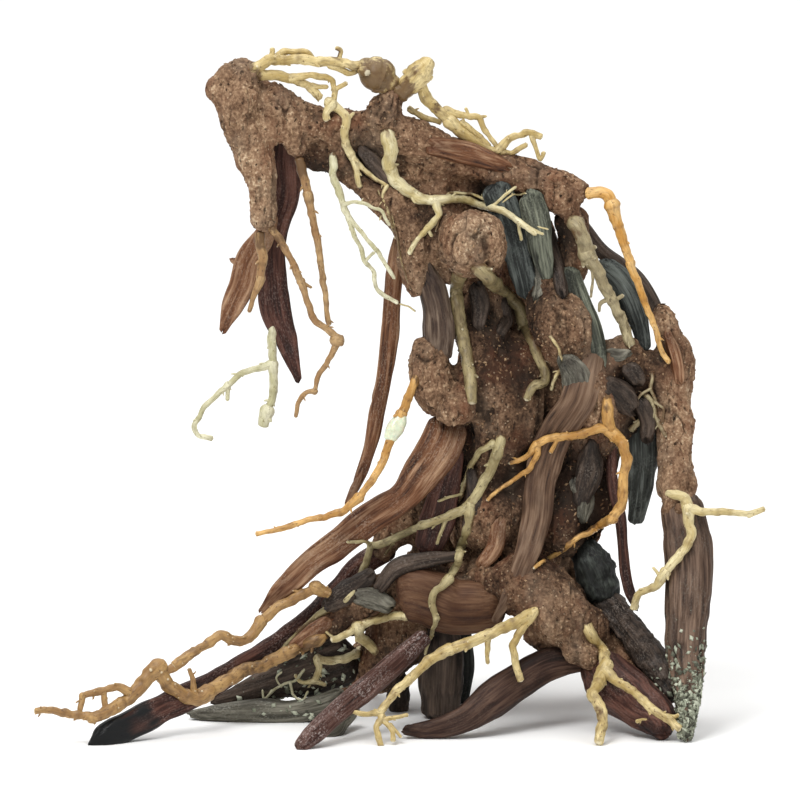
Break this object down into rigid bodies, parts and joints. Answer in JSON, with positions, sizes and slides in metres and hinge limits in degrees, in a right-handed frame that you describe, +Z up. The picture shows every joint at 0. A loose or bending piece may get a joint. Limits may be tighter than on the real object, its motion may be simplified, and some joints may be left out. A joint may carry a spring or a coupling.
{
  "type": "bonsai driftwood root",
  "caption": "Tree-like driftwood root on spread feet, with weathered slats and fine pale roots bound to a crumbled mortar trunk; stands freely as a display piece or a core for moss.",
  "frame": {"origin": "middle of the footprint, on the plane the feet stand on", "axes": "+X along the width towards the ribbed right leg, +Y away from the viewer, +Z up"},
  "size_m": [0.2997, 0.1426, 0.2807],
  "materials": {
    "mortar": "crumbled wood dust set in glue, matt",
    "wood_red_brown": "weathered red-brown wood, smooth",
    "wood_maroon": "dark maroon wood, soft sheen",
    "wood_grey_brown": "ribbed grey-brown wood, matt",
    "wood_grey": "weathered grey wood, matt",
    "wood_grey_green": "weathered grey-green wood, matt",
    "wood_blue_grey": "blue-grey weathered wood, matt",
    "wood_olive": "olive-brown wood, smooth",
    "wood_dark": "dark bog wood, matt",
    "wood_charred": "charred wood, soft gloss",
    "root_pale": "dry pale root, satin",
    "root_green": "dry pale green root, satin",
    "root_yellow": "dry yellow root, satin",
    "root_orange": "dry orange root, satin",
    "root_olive": "dry olive root, satin"
  },
  "bodies": {
    "root": {"mortar_trunk": "mortar", "leg_right_ribbed": "wood_grey_brown", "slat_long_left": "wood_red_brown", "stick_red_low": "wood_red_brown", "slat_charred_tip": "wood_maroon", "band_centre": "wood_grey_brown", "log_base_olive": "wood_olive", "slat_curved_bottom": "wood_maroon", "log_right_lower": "wood_maroon", "log_right_upper": "wood_dark", "slat_head_left": "wood_red_brown", "slat_head_right": "wood_maroon", "stick_hanging_long": "wood_red_brown", "branch_column": "wood_grey_brown", "slab_low_left": "wood_dark", "plank_grey": "wood_grey", "block_grey": "wood_grey", "foot_ribbed": "wood_dark", "foot_black_back": "wood_charred", "foot_round_dark": "wood_dark", "stick_red_right": "wood_maroon", "slab_dark_upper": "wood_dark", "slat_grey_face": "wood_blue_grey", "slat_grey_a": "wood_blue_grey", "slat_grey_b": "wood_grey_green", "slat_grey_back": "wood_grey_green", "slat_blue_black": "wood_blue_grey", "lump_charred": "wood_charred", "slat_arched": "wood_dark", "rib_dark": "wood_maroon", "root_olive_left": "root_olive", "root_olive_right": "root_olive", "root_thin_core": "root_pale", "root_cream_large": "root_pale", "root_wishbone": "root_pale", "root_green_fine": "root_green", "root_bunch_head": "root_yellow", "root_crown_yellow": "root_yellow", "root_orange_right": "root_orange", "root_knobby_right": "root_pale", "root_under_head": "root_pale", "root_leg_forked": "root_pale", "root_orange_stub": "root_orange", "root_green_low": "root_green", "root_orange_bead": "root_orange", "root_olive_long": "root_olive", "root_orange_forked": "root_orange", "root_olive_above": "root_olive", "root_orange_large": "root_orange", "root_pale_bent": "root_pale", "root_yellow_low": "root_yellow", "root_yellow_base": "root_yellow", "root_pale_leg": "root_pale", "twigs_lichen": "root_green"}
  },
  "joints": []
}
